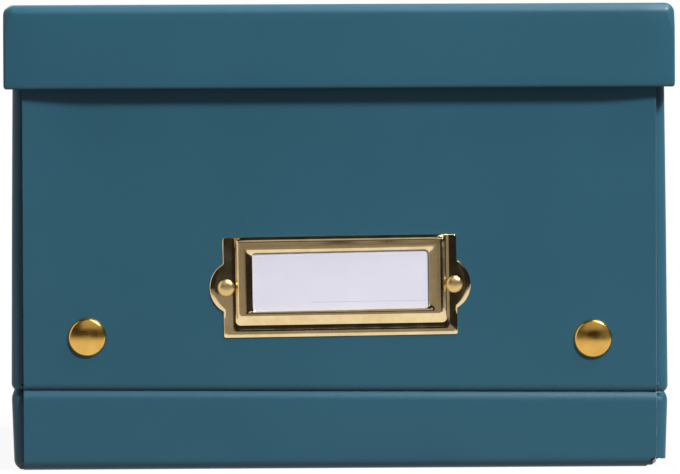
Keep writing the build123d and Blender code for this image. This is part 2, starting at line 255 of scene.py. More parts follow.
def wave(x, y, z, height, length=70.0):
    """Slow unevenness of a sheet of board, in mm."""
    return height * noise.noise(Vector((x, y, z)) / length)


def wrapped_point(side, x, y, z, depth, inward, sway, gathered=True):
    """A point of a side sheet, which is pressed in at the crease, where the cover is
    gathered round the corners, and stands inward by a lean."""
    turn = min(1, max(0, (x - BODY_HALF + BEND) / BEND))
    pressed = pressed_in(side * x, z, depth)
    if gathered:
        over = z - crease_height(side * x)
        near = max(0, 1 - abs(over) / PUCKER_REACH) * (1 - turn)
        pressed += PUCKER[side] * near * noise.noise(Vector((turn * 2.6, y / 40, over / 1.1)))
    x_now = x - inward - pressed * turn + wave(x, y, z, sway)
    return side * x_now, y + math.copysign(pressed * (1 - turn), -y), z


def mesh_object(name, mesh, *materials):
    """Turns a bmesh into an object."""
    bmesh.ops.recalc_face_normals(mesh, faces=mesh.faces)
    data = bpy.data.meshes.new(name)
    mesh.to_mesh(data)
    mesh.free()
    for material in materials:
        data.materials.append(material)
    return bpy.data.objects.new(name, data)


def board_object(name, mesh):
    """A piece of board, with its cover, its lining and its cut edges."""
    loose = [v for v in mesh.verts if not v.link_faces]
    bmesh.ops.delete(mesh, geom=loose, context="VERTS")
    return mesh_object(name, mesh, cover, lining, cut_board)


def finish_piece(piece, node, body, worn=WORN, sharp=0):
    """Smooth shading, with worn edges or with edges that stay sharp over an angle. Then the
    piece joins its CAD body in place of its node."""
    for face in piece.data.polygons:
        face.use_smooth = True
    if sharp:
        piece.data.set_sharp_from_angle(angle=math.radians(sharp))
    if worn:
        edges = piece.modifiers.new("worn_edge", "BEVEL")
        edges.width = worn * MM
        edges.segments = 2
        edges.limit_method = "ANGLE"
        edges.angle_limit = math.radians(50)
        edges.harden_normals = True
    bpy.context.scene.collection.objects.link(piece)
    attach(piece, body)
    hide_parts(node)


def add_sheet(mesh, outside, inside, keep=None, folded=None):
    """Adds a sheet of board to a bmesh from two grids of points in mm.
    keep(row, column) is False where the sheet is cut away, and folded(x, y, z) is True
    where a border is a fold, over which the cover runs."""
    through = mesh.verts.layers.float.get("through") or mesh.verts.layers.float.new("through")
    grids = []
    for depth, grid in enumerate((outside, inside)):
        rows = [[mesh.verts.new(Vector(point) * MM) for point in row] for row in grid]
        for row in rows:
            for vert in row:
                vert[through] = depth
        grids.append(rows)
    outer, inner = grids
    border = {}
    for r in range(len(outer) - 1):
        for c in range(len(outer[0]) - 1):
            if keep and not keep(r, c):
                continue
            corners = ((r, c), (r, c + 1), (r + 1, c + 1), (r + 1, c))
            mesh.faces.new([outer[i][j] for i, j in corners]).material_index = 0
            mesh.faces.new([inner[i][j] for i, j in reversed(corners)]).material_index = 1
            for start, end in zip(corners, corners[1:] + corners[:1]):
                if (end, start) in border:
                    del border[(end, start)]
                else:
                    border[(start, end)] = True
    for (r, c), (i, j) in border:
        face = mesh.faces.new((outer[i][j], outer[r][c], inner[r][c], inner[i][j]))
        middle = (outer[i][j].co + outer[r][c].co) / 2 / MM
        face.material_index = 0 if folded and folded(*middle) else 2


def spread(start, end, count):
    """Evenly spaced numbers, both ends included."""
    return [start + (end - start) * i / (count - 1) for i in range(count)]


def wrap_path(depth):
    """Seen from above: the left-hand sheet from one tab tip to the other, at a depth into
    the board. Returns (x, y) points; x is measured from the middle to the left."""
    radius = BEND - depth
    turns = [math.radians(a) for a in spread(0, 90, 9)]
    centre = (BODY_HALF - BEND, TAB_FACE + BEND)
    near = [(x, TAB_FACE + depth) for x in spread(TAB_TIP, centre[0], 7)[:-1]]
    near += [(centre[0] + radius * math.sin(a), centre[1] - radius * math.cos(a)) for a in turns]
    half = near + [(BODY_HALF - depth, y) for y in spread(centre[1], 0, 15)[1:]]
    return half + [(x, -y) for x, y in reversed(half[:-1])]


def on_crease(x, y, z):
    """The low walls have their fold at the crease."""
    return z > crease_height(x) - NEAR


def tray_side(mesh, side):
    """A low side wall: wrapped round both corners, and bent under into the bottom."""
    turns = [math.radians(a) for a in spread(0, 90, 7)[1:]]
    pivot = BODY_HALF - DRAW_IN * (1 - BEND / CREASE) - BEND
    grids = []
    for depth in (0, BOARD):
        rows = []
        path = wrap_path(depth)
        for level in range(LOW_COUNT):
            row = []
            for x, y in path:
                z = low_height(level, side * x)
                if side > 0 and level == LOW_COUNT - 1 and y < TAB_FACE + BEND:
                    z -= HANG * min(1, max(0, (x - PANEL_HALF) / HANG_RUN))
                row.append(wrapped_point(side, x, y, z, depth, DRAW_IN * (1 - z / CREASE),
                                         SWAY, x > BODY_HALF - BEND - 1))
            rows.append(row)
        radius = BEND - depth
        for a in turns:
            slack = SLACK * math.sin(min(math.pi / 2, SLACK_RATE * a)) if side > 0 else 0
            shift = pivot + radius * math.cos(a) - BODY_HALF + depth - slack
            rows.append([(side * (x + shift), y, BEND - radius * math.sin(a)) for x, y in path])
        grids.append(rows)
    outside = wrap_path(0)
    corner_columns = {c for c, (x, y) in enumerate(outside) if abs(y) > -TAB_FACE - BEND}

    def keep(row, column):
        corner = column in corner_columns or column + 1 in corner_columns
        y = outside[column][1]
        front_left = side < 0 and TAB_FACE + NEAR < y < 0
        return row < LOW_COUNT - 1 or not corner or (front_left and row < LOW_COUNT + 2)

    add_sheet(mesh, *grids, keep=keep, folded=on_crease)


def front_point(x, z, depth):
    """A point of the sheet at the front, before it curls."""
    return x, FRONT + depth + pressed_in(x, z, depth) + wave(x, FRONT, z, SWAY), z


def tray_floor(mesh):
    """The bottom, bent up into the low front and back walls."""
    columns = spread(-PANEL_HALF, PANEL_HALF, 41)
    turns = [math.radians(a) for a in spread(0, 90, 9)]

    def cut(x, turn):
        return min(x, PANEL_HALF - FOOT_CUT - FOOT_SLANT * math.sin(turn)) if turn else x

    grids = []
    for depth in (0, BOARD):
        radius = BEND - depth
        front = [[front_point(x, low_height(level, x), depth) for x in columns]
                 for level in range(LOW_COUNT - 1)]
        for a in turns:
            y, z = FRONT + BEND - radius * math.cos(a), BEND - radius * math.sin(a)
            front.append([(cut(x, a), y, z) for x in columns])
        flat = [[(cut(x, math.pi / 2), y, depth) for x in columns]
                for y in spread(FRONT + FLAT_EDGE, -FRONT - FLAT_EDGE, 13)]
        back = [[(x, -y, z) for x, y, z in row] for row in reversed(front)]
        grids.append(front + flat + back)
    add_sheet(mesh, *grids, folded=on_crease)


def corner_core(mesh, side, end):
    """Raw board at the foot of a corner, where the two bends meet and the cover is cut."""
    profile = CORE_PROFILES[side]
    depths = (end * (-TAB_FACE - CORE_DEEP), end * (-TAB_FACE + CORE_OUT))
    verts = [mesh.verts.new(Vector((side * x, y, z)) * MM) for y in depths for x, z in profile]
    for face in CORE_FACES:
        mesh.faces.new([verts[i] for i in face]).material_index = 2


mesh = bmesh.new()
tray_floor(mesh)
for side in (-1, 1):
    tray_side(mesh, side)
    for end in (-1, 1):
        corner_core(mesh, side, end)
finish_piece(board_object("tray_board", mesh), "tray", "box")

# Side walls
# Two tall sheets of the same board. Each leans in a little towards its top and is bent
# round the front and back corners, where its tabs begin. They stand on the crease.

WALL_TOP = 153.9
SIDE_LEAN = 1.0
SIDE_SWAY = 0.15
TONGUE = 1.4  # height of what runs on behind the front and back walls
RISE_SHARES = [0.03, 0.08, 0.14, 0.2, 0.28, 0.38, 0.5, 0.62, 0.74, 0.85, 0.93, 0.98, 1]
RISE_COUNT = len(LIP_ROWS) + len(RISE_SHARES)
SIDE_NAMES = {-1: "left", 1: "right"}


def rise_height(row, x):
    """Heights of the rows of points of the tall walls, from the crease up."""
    foot = crease_height(x)
    if row < len(LIP_ROWS):
        return foot + LIP_ROWS[row]
    foot += LIP_ROWS[-1]
    return foot + RISE_SHARES[row - len(LIP_ROWS)] * (WALL_TOP - foot)


def lean(z):
    """How far a side wall and its tabs stand in at a height."""
    return SIDE_LEAN * (z - CREASE) / (WALL_TOP - CREASE)


def side_wall(side):
    """A side wall, from just before its bend at the front to just past that at the back."""
    bend = next(c for c, (x, y) in enumerate(wrap_path(0)) if x >= BODY_HALF - BEND - NEAR)
    grids = []
    for depth in (0, BOARD):
        path = wrap_path(depth)[bend - 1:1 - bend]
        rows = []
        for level in range(RISE_COUNT):
            row = []
            for x, y in path:
                z = rise_height(level, side * x)
                row.append(wrapped_point(side, x, y, z, depth, lean(z), SIDE_SWAY))
            rows.append(row)
        grids.append(rows)
    last = len(path) - 2
    mesh = bmesh.new()
    add_sheet(mesh, *grids, folded=lambda x, y, z: z < WALL_TOP - 0.1,
              keep=lambda row, column: row < LIP_ROWS.index(TONGUE) or 0 < column < last)
    name = SIDE_NAMES[side] + "_wall"
    finish_piece(board_object(name + "_board", mesh), name, "box")


for side in (-1, 1):
    side_wall(side)

# Front and back walls
# One flat sheet each, standing on the crease in front of the tabs. Their ends are cut, not
# wrapped. The press studs hold them down, and above the studs they have curled out.

BOW = 1.9
BOW_LENGTH = 27.0
BOW_FOOT = 54.4  # height at which the curl starts
END_NAMES = {-1: "front", 1: "back"}


def end_wall(end):
    """The front wall, or the back wall as its mirror image."""
    middle = spread(-PANEL_HALF + BOW_LENGTH, PANEL_HALF - BOW_LENGTH, 33)
    curl = spread(PANEL_HALF - BOW_LENGTH, PANEL_HALF, 11)[1:]
    columns = [-x for x in reversed(curl)] + middle + curl
    grids = []
    for depth in (0, BOARD):
        rows = []
        for level in range(RISE_COUNT):
            row = []
            for column in columns:
                x, y, z = front_point(column, rise_height(level, column), depth)
                past = max(0, abs(x) - PANEL_HALF + BOW_LENGTH) / BOW_LENGTH
                y -= BOW * past * past * max(0, z - BOW_FOOT) / (WALL_TOP - BOW_FOOT)
                row.append((x, -end * y, z))
            rows.append(row)
        grids.append(rows)
    mesh = bmesh.new()
    add_sheet(mesh, *grids, folded=lambda x, y, z: z < crease_height(x) + NEAR)
    name = END_NAMES[end] + "_wall"
    finish_piece(board_object(name + "_board", mesh), name, "box")


for end in (-1, 1):
    end_wall(end)

# Corner tabs
# Four flaps of the side walls, folded behind the front and back walls. Their free corners
# are die-cut round. Opened, each turns on its bend.

TAB_CORNER = 6.0
TAB_FOOT, TAB_HEAD = 1.95, 1.2  # gaps over the crease and under the top of the walls
TAB_OVERLAP = 0.17  # into the worn edge of the side wall


def arc(x, z, radius, start, end, count):
    """Points of an arc round a centre, from one angle in degrees to another."""
    return [(x + radius * math.cos(math.radians(a)), z + radius * math.sin(math.radians(a)))
            for a in spread(start, end, count)]


def tab_name(side, end):
    return END_NAMES[end] + "_" + SIDE_NAMES[side] + "_tab"


def corner_tab(side, end):
    """A flap, from its outline seen from the front."""
    pivot = BODY_HALF - BEND + TAB_OVERLAP
    middle = TAB_TIP + TAB_CORNER
    high = WALL_TOP - TAB_HEAD
    outline = [(pivot, high)] + arc(middle, high - TAB_CORNER, TAB_CORNER, 90, 180, 9)
    outline += arc(middle, crease_height(side * middle) + TAB_FOOT + TAB_CORNER, TAB_CORNER,
                   180, 270, 9)
    outline.append((pivot, crease_height(side * pivot) + TAB_FOOT))
    mesh = bmesh.new()
    through = mesh.verts.layers.float.new("through")
    loops = []
    for depth in (0, BOARD):
        loop = []
        for x, z in outline:
            spot = Vector((side * (x - lean(z)), -end * (TAB_FACE + depth), z))
            vert = mesh.verts.new(spot * MM)
            vert[through] = depth / BOARD
            loop.append(vert)
        loops.append(loop)
    front, back = loops
    mesh.faces.new(front).material_index = 0
    mesh.faces.new(reversed(back)).material_index = 1
    for i in range(len(outline)):
        j = (i + 1) % len(outline)
        mesh.faces.new((front[j], front[i], back[i], back[j])).material_index = 2
    name = tab_name(side, end)
    finish_piece(board_object(name + "_board", mesh), name, name)


for side in (-1, 1):
    for end in (-1, 1):
        corner_tab(side, end)

# Press studs
# A domed brass cap on the outside of the wall is clenched into a spring socket inside it.
# The stud and the head of its post sit on the two faces of each tab.

STUD_X = 85.0
STUD_RISE = 17.85  # over the crease
TURNED_SHARP = 55  # degrees
SMALL_STEPS = 48
CAP_RISE = 2.1
CAP_FLATTENED = 0.86
DOME_EDGE, DOME_DROP, DOME_POWER = 5.6, 0.82, 2.05


def turned(name, profile, places, material, steps=64):
    """Pieces turned about axes along Y, from a profile of (radius, y) in mm. Each place is
    (x, z, 1), or (x, z, -1) for a piece that faces the back."""
    mesh = bmesh.new()
    for x, z, flip in places:
        rings = []
        for radius, y in profile:
            if radius < 0.001:
                rings.append([mesh.verts.new(Vector((x, flip * y, z)) * MM)])
                continue
            ring = []
            for step in range(steps):
                a = math.tau * step / steps
                spot = (x + radius * math.cos(a), flip * y, z + radius * math.sin(a))
                ring.append(mesh.verts.new(Vector(spot) * MM))
            rings.append(ring)
        for one, two in zip(rings, rings[1:]):
            for step in range(steps):
                after = (step + 1) % steps
                if len(one) == 1:
                    mesh.faces.new((one[0], two[step], two[after]))
                elif len(two) == 1:
                    mesh.faces.new((one[step], two[0], one[after]))
                else:
                    mesh.faces.new((one[step], two[step], two[after], one[after]))
    return mesh_object(name, mesh, material)


def metal_wear():
    """Plated or polished metal: handling clouds and faint rolling lines."""
    group, inside, outside = effect_group(
        "metal_wear", {"Cloud Size": 6.0, "Line Size": 0.25}, ("Clouds", "Lines"))
    place = group.nodes.new("ShaderNodeTexCoord").outputs["Object"]
    cloud = put(group, "ShaderNodeTexNoise", Detail=3.0, Roughness=0.55)
    line = put(group, "ShaderNodeTexNoise", Detail=2.0, Roughness=0.5)
    stretch = put(group, "ShaderNodeMapping", vector_type="POINT", Scale=(0.06, 1.0, 1.0))
    group.links.new(place, stretch.inputs["Vector"])
    noise_nodes(group, inside, ((cloud, place, "Cloud Size"),
                                (line, stretch.outputs["Vector"], "Line Size")))
    group.links.new(cloud.outputs["Fac"], outside.inputs["Clouds"])
    group.links.new(line.outputs["Fac"], outside.inputs["Lines"])
    return group


WEAR = metal_wear()


def metal_material(name, tints, roughness, bump):
    """Metal between two tints, with clouds in tint and gloss and faint lines in relief."""
    material, tree, shader = new_material(name)
    shader.inputs["Metallic"].default_value = 1.0
    wear = put(tree, "ShaderNodeGroup", node_tree=WEAR)
    clouds = wear.outputs["Clouds"]
    patterned(tree, shader, clouds, tints, clouds, (roughness * 0.8, roughness * 1.3),
              wear.outputs["Lines"], bump)
    return material


cap_brass = metal_material("cap_brass", ((210, 163, 78), (228, 182, 98)), 0.20, 0.03)
stud_steel = metal_material("plated_steel", ((150, 148, 144), (182, 180, 176)), 0.25, 0.05)
stud_spots = [(side * STUD_X, crease_height(side * STUD_X) + STUD_RISE) for side in (-1, 1)]

# Radius and height over the wall: dome, turned rim, underside, neck and clenched end
cap_profile = [(0, CAP_RISE)]
cap_profile += [(r, CAP_RISE - DOME_DROP * (r / DOME_EDGE) ** DOME_POWER)
                for r in spread(0.5, DOME_EDGE, 12)]
cap_profile += [(5.78, 1.21), (5.92, 1.11), (6.04, 0.98), (6.14, 0.82), (6.24, 0.65),
                (6.33, 0.48), (6.42, 0.3), (6.5, 0.14), (6.46, 0.05), (6.25, 0.01)]
cap_profile = [(r, h * CAP_FLATTENED) for r, h in cap_profile]
cap_profile += [(6.0, 0.0), (1.7, 0.0), (1.7, -0.95), (2.1, -1.05), (2.1, -1.15), (0, -1.15)]
for end in (-1, 1):
    caps = turned(END_NAMES[end] + "_cap_pair", [(r, FRONT - h) for r, h in cap_profile],
                  [(x, z, -end) for x, z in stud_spots], cap_brass)
    finish_piece(caps, END_NAMES[end] + "_stud_caps", "box", 0, TURNED_SHARP)

# Radius and place along Y: the rolled rim, the face, and the spring round the bore
socket_profile = [(1.7, -137.8), (4.9, -137.8)] + arc(4.85, -137.55, 0.25, -90, 0, 4)
socket_profile += arc(4.75, -136.85, 0.35, 0, 90, 5)
socket_profile += [(3.9, -136.5), (3.6, -136.62), (3.1, -136.62)]
socket_profile += arc(2.62, -136.72, 0.22, 60, 190, 6) + [(2.38, -137.5), (1.7, -137.55)]
socket_profile.append(socket_profile[0])
sockets = turned("spring_sockets", socket_profile,
                 [(x, z, flip) for x, z in stud_spots for flip in (1, -1)], stud_steel)
finish_piece(sockets, "stud_sockets", "box", 0, TURNED_SHARP)

# The stud's knob, neck and flange, and the round head and shank of its post
stud_profile = [(0, -137.0), (1.3, -137.0)] + arc(1.55, -136.75, 0.4, -90, 0, 4)
stud_profile += [(1.75, -136.5), (1.8, -136.42), (1.95, -136.36), (4.2, -136.35)]
stud_profile += arc(4.3, -136.22, 0.13, -60, 90, 5) + [(0, TAB_FACE)]
post_profile = [(0, -133.72), (1.2, -133.74), (1.6, -133.8), (3.4, -133.8)]
post_profile += arc(4.05, -134.15, 0.38, 90, -20, 6) + [(4.4, -134.3), (1.5, -134.3)]
post_profile += [(1.5, TAB_FACE), (0, TAB_FACE)]
for side, (x, z) in zip((-1, 1), stud_spots):
    for end in (-1, 1):
        tab = tab_name(side, end)
        for part, profile, metal in (("stud", stud_profile, stud_steel),
                                     ("post", post_profile, cap_brass)):
            node = tab + "_" + part
            piece = turned(node + "_head", profile, [(x, z, -end)], metal, SMALL_STEPS)
            finish_piece(piece, node, tab, 0, TURNED_SHARP)

# Lid
# One sheet with its rim bent down all round. The top edge is softly rounded, the upright
# corners are glued, and the covered foot of the rim is turned over a thin hem.

LID_HALF = (112.6, 143.5)
LID_TOP = 156.0
RIM_FOOT = 127.8
UPRIGHT_CORNER = 1.1
LEAST_CORNER = 0.02
SIDE_POINTS = (24, 30)  # along the front and back, and along the sides
HEM_WIDTH, HEM_OUTSIDE, HEM_INSIDE = 0.8, 1.3, 0.7  # and its heights
HEM_START = 1.4  # the plain rim ends this far over its foot
RIM_SINK, RIM_SINK_LENGTH, RIM_SINK_RISE = 0.3, 90, 24
TOP_SINK, TOP_SINK_LENGTH, TOP_SINK_RUN = 0.25, 80, 20


def lid_loop(inset, corner):
    """A rounded rectangle, with as many points whatever its size."""
    radius = max(corner, LEAST_CORNER)
    x, y = (half - inset - radius for half in LID_HALF)
    centres = ((x, y), (-x, y), (-x, -y), (x, -y))
    corners = [arc(*centre, radius, quarter * 90, quarter * 90 + 90, 7)
               for quarter, centre in enumerate(centres)]
    points = []
    for quarter, turn in enumerate(corners):
        begin, finish = Vector(turn[-1]), Vector(corners[(quarter + 1) % 4][0])
        points += turn + [tuple(begin.lerp(finish, share))
                          for share in spread(0, 1, SIDE_POINTS[quarter % 2])[1:-1]]
    return points


def lid_levels():
    """(inset, height, corner radius, through) from the middle of the top, round the rim's
    foot, to the middle of the underside."""
    pivot = LID_TOP - BEND
    under = LID_TOP - BOARD
    levels = [(inset, LID_TOP, 0, 0) for inset in (60, 25, 8, 4.2)]
    levels += [(BEND - out, z, out, 0) for out, z in arc(0, pivot, BEND, 90, 0, 9)]
    for share in (0.1, 0.22, 0.38, 0.55, 0.72, 0.88):
        z = pivot + (RIM_FOOT + HEM_START - pivot) * share
        spread_out = max(0, 1 - share / 0.35) ** 2
        levels.append((0, z, UPRIGHT_CORNER + (BEND - UPRIGHT_CORNER) * spread_out, 0))
    for cos, sin in arc(0, 0, 1, 0, 90, 5):
        levels.append((HEM_WIDTH * (1 - cos), RIM_FOOT + HEM_OUTSIDE * (1 - sin), 1.0, 0))
    for cos, sin in arc(0, 0, 1, 90, 180, 5):
        levels.append((BOARD - HEM_WIDTH * (1 + cos), RIM_FOOT + HEM_INSIDE * (1 - sin), 0.5, 0.5))
    for share in (0.3, 0.65, 1):
        rise = RIM_FOOT + HEM_INSIDE
        levels.append((BOARD, rise + (pivot - rise) * share, 0.5, 1))
    levels += [(BEND - out, z, 0.4, 1) for out, z in arc(0, pivot, BEND - BOARD, 0, 90, 6)[1:]]
    return levels + [(inset, under, 0.2, 1) for inset in (8, 25, 60)]


def lid_point(x, y, z, inset):
    """The sides of the rim have sunk in a little towards their foot, and the top in its
    middle."""
    sink, dip = 0, 0
    if abs(abs(x) - LID_HALF[0]) < 2.2 and abs(y) < LID_HALF[1] - 4:
        held = 1 if z > LID_TOP - BEND - 1 else max(0, (z - RIM_FOOT) / RIM_SINK_RISE)
        sway = wave(x, y, z, RIM_SINK, RIM_SINK_LENGTH) * (1 - held)
        sink = abs(sway) * math.copysign(1, x)
    if z > LID_TOP - BOARD - 0.1:
        share = min(1, max(0, inset - 4) / TOP_SINK_RUN)
        dip = abs(wave(x, y, 0, TOP_SINK, TOP_SINK_LENGTH)) * share
    return Vector((x - sink, y, z - dip)) * MM


mesh = bmesh.new()
through = mesh.verts.layers.float.new("through")
loops = []
for inset, z, corner, depth in lid_levels():
    loop = [mesh.verts.new(lid_point(x, y, z, inset)) for x, y in lid_loop(inset, corner)]
    for vert in loop:
        vert[through] = depth
    loops.append(loop)
for one, two in zip(loops, loops[1:]):
    for i in range(len(one)):
        j = (i + 1) % len(one)
        face = mesh.faces.new((one[i], one[j], two[j], two[i]))
        face.material_index = 0 if (one[i][through] + two[i][through]) / 2 < 0.9 else 1
mesh.faces.new(list(reversed(loops[0]))).material_index = 0
mesh.faces.new(loops[-1]).material_index = 1
finish_piece(board_object("lid_board", mesh), "lid", "lid", 0)

# Label frame
# A stamped and polished brass plate: a flat flange with a round ear at each short side,
# and a raised bezel round the window. The bezel runs out at the top, where the card goes in.

LABEL_HEIGHT = 61.4
LABEL_TILT = math.radians(0.65)
PLATE = (39.3, 16.8)  # half its width and height
EAR_RADIUS, EAR_CENTRE = 9.3, 34.6
EAR_HALF = math.sqrt(EAR_RADIUS ** 2 - (PLATE[0] - EAR_CENTRE) ** 2)
SHEET = 0.5
CREST = 1.5  # of the bezel, over the wall
POCKET = (5.7, 5.7, 6.3, 0.0)  # insets of the pocket behind the bezel
POCKET_DEPTH = 0.8
MOUTH_LIP, MOUTH_SLOPE, MOUTH_REACH, MOUTH_SIDE = 0.06, 0.52, 1.9, 4.6
PLATE_SHARP = 50  # degrees
MERGE = 0.004  # points closer than this are joined


def label_point(x, up, out):
    """From the plane of the label to the box, in mm."""
    return Vector((x * math.cos(LABEL_TILT) - up * math.sin(LABEL_TILT), FRONT - out,
                   LABEL_HEIGHT + x * math.sin(LABEL_TILT) + up * math.cos(LABEL_TILT)))


ear_steps = [EAR_HALF / (PLATE[1] - 0.8) * math.sin(math.radians(a)) for a in spread(-90, 90, 25)]
SHORT_STEPS = [-1, -0.85, -0.7, -0.58] + ear_steps + [0.58, 0.7, 0.85, 1]


def frame_loop(insets, low_corner, high_corner, ears=None):
    """A loop round the plate, as (x, up) points from the foot of its right side. insets are
    the distances from the plate's left, right, foot and head; ears is how far the loop
    lies inside the round ears, where it takes them in."""
    left, right, foot, head = insets
    x0, x1 = left - PLATE[0], PLATE[0] - right
    z0, z1 = foot - PLATE[1], PLATE[1] - head

    def corner(x, z, radius, start):
        return arc(x, z, radius, start, start + 90, 7)[1:-1]

    def short_side(edge, sign):
        points = []
        for step in SHORT_STEPS:
            up = z0 + low_corner + (z1 - high_corner - z0 - low_corner) * (step + 1) / 2
            bulge = 0
            if ears is not None and abs(up) < EAR_HALF - ears:
                bulge = math.sqrt((EAR_RADIUS - ears) ** 2 - up * up) + EAR_CENTRE - abs(edge)
            points.append((edge + sign * max(0, bulge), up))
        return points

    top = spread(x1 - high_corner, x0 + high_corner, 41)
    base = spread(x0 + low_corner, x1 - low_corner, 41)
    return (short_side(x1, 1) + corner(x1 - high_corner, z1 - high_corner, high_corner, 0)
            + [(x, z1) for x in top] + corner(x0 + high_corner, z1 - high_corner, high_corner, 90)
            + short_side(x0, -1)[::-1] + corner(x0 + low_corner, z0 + low_corner, low_corner, 180)
            + [(x, z0) for x in base] + corner(x1 - low_corner, z0 + low_corner, low_corner, 270))


def blend_loops(one, two, share):
    return [(x + (u - x) * share, y + (v - y) * share) for (x, y), (u, v) in zip(one, two)]


def uneven(x, up):
    """Stamped sheet is never quite flat: small hollows, and the two ends of the flange are
    sprung back, one up and one to the side."""
    change = 0.012 * noise.noise(Vector((x, up, 3)) / 9.0)
    if x < 4.3 - PLATE[0]:
        change -= 0.02 * max(0, up + 2)
    beyond = x - PLATE[0] + 3.0
    if beyond > 0 and up > 4 - PLATE[1]:
        change -= 0.08 * min(beyond, 3.0) + 0.02 * max(0, beyond - 3.0)
    return change


def askew(loop):
    """The window was punched a little lower at its left."""
    return [(x, up - 0.35 * (30 - x) / 60) for x, up in loop]


outline = frame_loop((0, 0, 0, 0), 0.8, 0.8, 0.0)
rounded = frame_loop((0.12, 0.12, 0.25, 0.08), 0.7, 0.7, 0.12)
rim = frame_loop((0.3, 0.3, 0.7, 0.15), 0.6, 0.6, 0.3)
flange = frame_loop((3.1, 2.6, 2.3, 0.2), 1.8, 0.05)
levels = [(outline, 0.0), (outline, 0.28), (rounded, 0.42), (rim, SHEET)]
levels += [(blend_loops(rim, flange, share), SHEET) for share in (0.25, 0.5, 0.75, 1.0)]
# Up the bezel: insets on the left, right, foot and head, the corner at the foot, the height
for *insets, corner, out in (
        (3.6, 3.1, 2.5, 0.22, 1.7, 0.47), (4.0, 3.5, 3.9, 0.25, 1.6, 0.32),
        (4.2, 3.7, 4.3, 0.28, 1.5, 0.30), (4.45, 4.0, 4.75, 0.6, 1.4, 0.55),
        (4.8, 4.5, 5.6, 1.0, 1.2, 1.0), (5.15, 5.0, 6.4, 1.4, 1.0, 1.36),
        (5.35, 5.3, 6.9, 1.7, 0.8, 1.48), (5.5, 5.45, 7.1, 1.85, 0.7, CREST),
        (5.7, 5.65, 7.28, 2.1, 0.7, CREST), (6.6, 6.6, 7.7, 3.2, 0.6, CREST),
        (7.7, 7.5, 8.1, 4.15, 0.6, CREST)):
    levels.append((frame_loop(insets, corner, 0.05), out))
# Down into the window, with the same corner at the head
for *insets, corner, out in (
        (7.9, 7.8, 8.6, 4.3, 0.8, 1.48), (8.6, 8.5, 8.72, 4.5, 1.0, 1.36),
        (9.3, 9.1, 8.84, 4.7, 1.1, 1.2), (9.85, 9.5, 8.95, 4.95, 1.2, 1.0)):
    levels.append((askew(frame_loop(insets, corner, corner)), out))
window = levels[-1][0]
pocket = frame_loop(POCKET, 0.5, 0.05)
levels += [(window, POCKET_DEPTH - 0.02), (blend_loops(window, pocket, 0.5), POCKET_DEPTH),
           (pocket, POCKET_DEPTH), (pocket, 0.0)]
mesh = bmesh.new()
rings = []
for number, (loop, out) in enumerate(levels):
    ring = []
    for x, up in loop:
        height = out + (uneven(x, up) if out > 0.25 else 0)
        down = PLATE[1] - up
        if down < MOUTH_REACH and abs(x) < PLATE[0] - MOUTH_SIDE and number < len(levels) - 1:
            mouth = POCKET_DEPTH + MOUTH_LIP + MOUTH_SLOPE * down
            height = max(out, min(CREST, mouth))
        ring.append(mesh.verts.new(label_point(x, up, height) * MM))
    rings.append(ring)
for one, two in zip(rings, rings[1:] + rings[:1]):
    for i in range(len(one)):
        j = (i + 1) % len(one)
        mesh.faces.new((one[i], two[i], two[j], one[j]))
bmesh.ops.remove_doubles(mesh, verts=mesh.verts, dist=MERGE * MM)
bmesh.ops.dissolve_degenerate(mesh, edges=mesh.edges, dist=MERGE * MM)
frame_brass = metal_material("frame_brass", ((220, 193, 142), (236, 212, 164)), 0.08, 0.02)
plate = mesh_object("label_frame_plate", mesh, frame_brass)
finish_piece(plate, "label_frame", "box", 0, PLATE_SHARP)

# Rivets of the label frame
# Two round-headed brass rivets pass through the ears and the front wall, and are clenched
# over steel washers on its inside.

RIVET_X = 38.3
HEAD_RISE, HEAD_RADIUS, HEAD_FOOT = 1.2, 2.86, 0.35

# Radius and height over the wall: round head, shank, and clenched end under the washer
rivet_profile = [(0, HEAD_FOOT + HEAD_RISE)]
rivet_profile += [(r, HEAD_FOOT + HEAD_RISE * (1 - (r / HEAD_RADIUS) ** 2.6) ** 0.5)
                  for r in spread(0.3, 2.8, 12)]
rivet_profile += [(2.85, 0.42), (2.85, 0.3), (1.4, 0.3), (1.4, -2.3), (2.0, -2.3)]
rivet_profile += arc(1.9, -2.55, 0.25, 80, -60, 5) + [(1.2, -2.8), (0.6, -2.62), (0, -2.6)]
washer_profile = [(1.4, -1.8), (3.3, -1.8), (3.5, -1.9), (3.5, -2.2), (3.3, -2.3), (1.5, -2.3),
                  (1.4, -2.2), (1.4, -1.8)]
spots = [label_point(x, 0, 0) for x in (-RIVET_X, RIVET_X)]
rivet_brass = metal_material("rivet_brass", ((210, 178, 116), (230, 202, 146)), 0.32, 0.05)
for name, node, profile, metal, slot in (
        ("label_rivet_heads", "label_rivets", rivet_profile, rivet_brass, "brass"),
        ("label_washers", "label_rivet_washers", washer_profile, stud_steel, "plated_steel")):
    piece = turned(name, [(r, FRONT - h) for r, h in profile],
                   [(spot.x, spot.z, 1) for spot in spots], metal, SMALL_STEPS)
    finish_piece(piece, node, "box", 0, TURNED_SHARP)

# Label card
# A plain white card with one ruled line near its foot. It stands in the pocket behind the
# bezel and is drawn out from above.

CARD_HALF, CARD_FOOT, CARD_HEAD = 33.2, -10.25, 16.0
CARD_FACES = (0.5, 0.1)  # over the wall
CARD_CURL = 0.06
RULE_UP, RULE_HALF = -5.3, 0.09  # the line's place over the middle, and half its thickness
RULE_MIDDLE, RULE_REACH = 10.0, 19.8


def band(tree, value, middle, half):
    """1 where a value is within half of a middle, and 0 elsewhere."""
    result = math_node(tree, "COMPARE", value, middle * MM)
    result.node.inputs[2].default_value = half * MM
    return result


